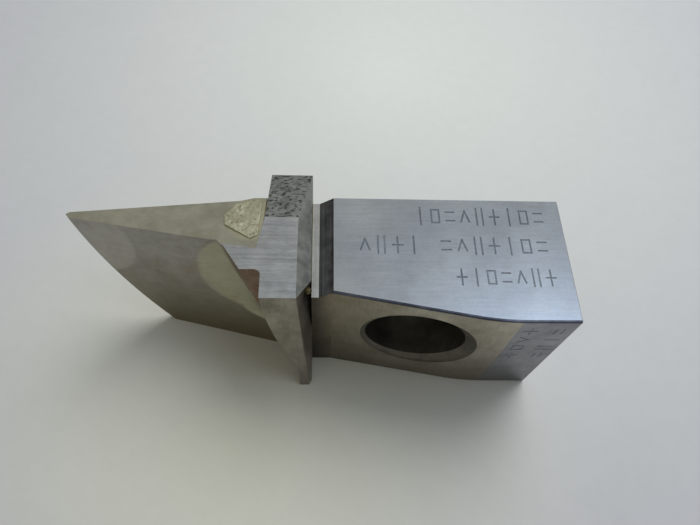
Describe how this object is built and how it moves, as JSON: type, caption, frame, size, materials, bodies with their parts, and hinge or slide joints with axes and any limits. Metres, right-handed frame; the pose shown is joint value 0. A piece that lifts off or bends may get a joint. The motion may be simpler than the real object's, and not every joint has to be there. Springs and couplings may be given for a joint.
{
  "type": "inserted cutter blade",
  "caption": "Inserted blade of a face-milling cutter: a bored steel shank block, a grooved neck, a flange and one long pointed form-relieved tooth.",
  "frame": {"origin": "the bolt bore's axis where it meets the back seat face", "axes": "+X along the blade away from the tooth, +Y out of the back seat face, +Z out of the marked top face"},
  "size_m": [0.0647, 0.0228, 0.0235],
  "materials": {
    "shank_steel": "fine surface-ground steel, darker and heat-tinted on the front",
    "flange_steel": "coarse-ground steel with a rough scaled patch on the ear",
    "tooth_steel": "smooth relieved high-speed steel with oil and rust stains",
    "braze": "dull rough braze filler"
  },
  "bodies": {
    "root": {"shank_block": "shank_steel", "flange_plate": "flange_steel", "cutting_tooth": "tooth_steel", "braze_pad": "braze", "tooth_braze_seam": "braze", "tenon_braze_seam": "braze"}
  },
  "joints": []
}
